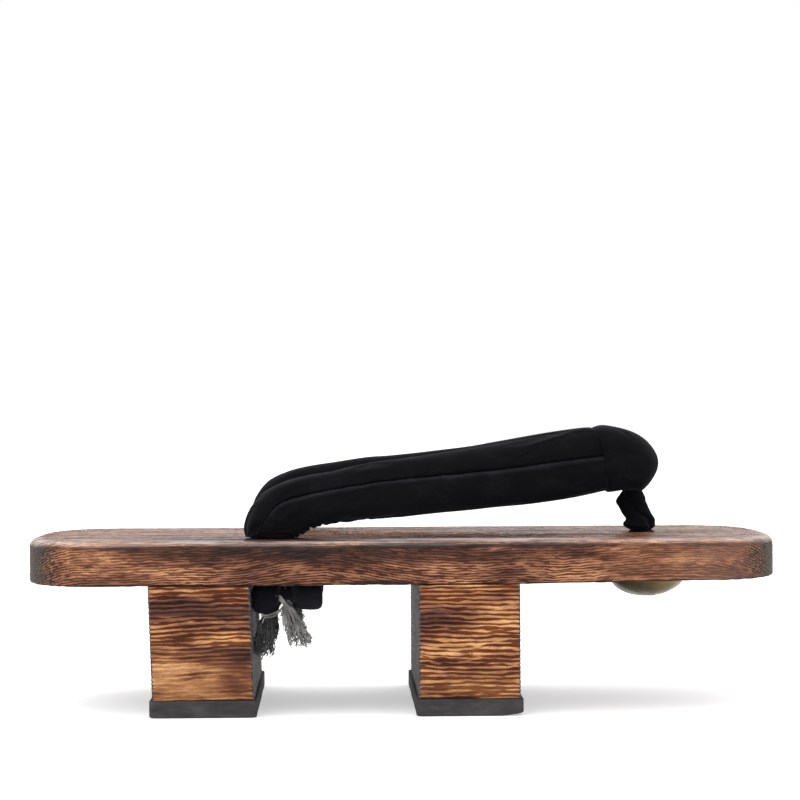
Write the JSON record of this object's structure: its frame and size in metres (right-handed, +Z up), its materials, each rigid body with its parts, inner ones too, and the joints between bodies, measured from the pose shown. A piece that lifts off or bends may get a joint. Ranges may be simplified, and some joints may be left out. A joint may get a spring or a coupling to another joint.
{
  "type": "geta sandal",
  "caption": "Wooden geta sandal: a round-ended burnt-wood board on two teeth with rubber lifts, padded velvet V thong, twisted front tie, domed brass cap and tasselled cotton cords",
  "frame": {"origin": "on the floor, under the middle of the board", "axes": "+X points to the toe, +Y to the wearer's left, +Z up; the sandal stands on both lifts"},
  "size_m": [0.268, 0.107, 0.1002],
  "materials": {
    "board_wood": "burnt and brushed paulownia, dark red-brown with raised grain and a soft sheen",
    "tooth_wood": "burnt and brushed paulownia, streaked tan and charred brown",
    "lift_rubber": "matte dark grey rubber with fine specks",
    "velvet": "black cotton velvet with a short nap and a side seam",
    "cap_brass": "dull olive brass, pressed, with small nicks",
    "cotton": "grey cotton twine, frayed at its ends"
  },
  "bodies": {
    "root": {"board": "board_wood", "tooth_rear": "tooth_wood", "tooth_front": "tooth_wood", "lift_rear": "lift_rubber", "lift_front": "lift_rubber", "thong": "velvet", "front_tie": "velvet", "front_cap": "cap_brass", "tie_cord_near": "cotton", "tie_cord_far": "cotton", "tassel_near_front": "cotton", "tassel_near_rear": "cotton", "tassel_far_front": "cotton", "tassel_far_rear": "cotton"}
  },
  "joints": []
}
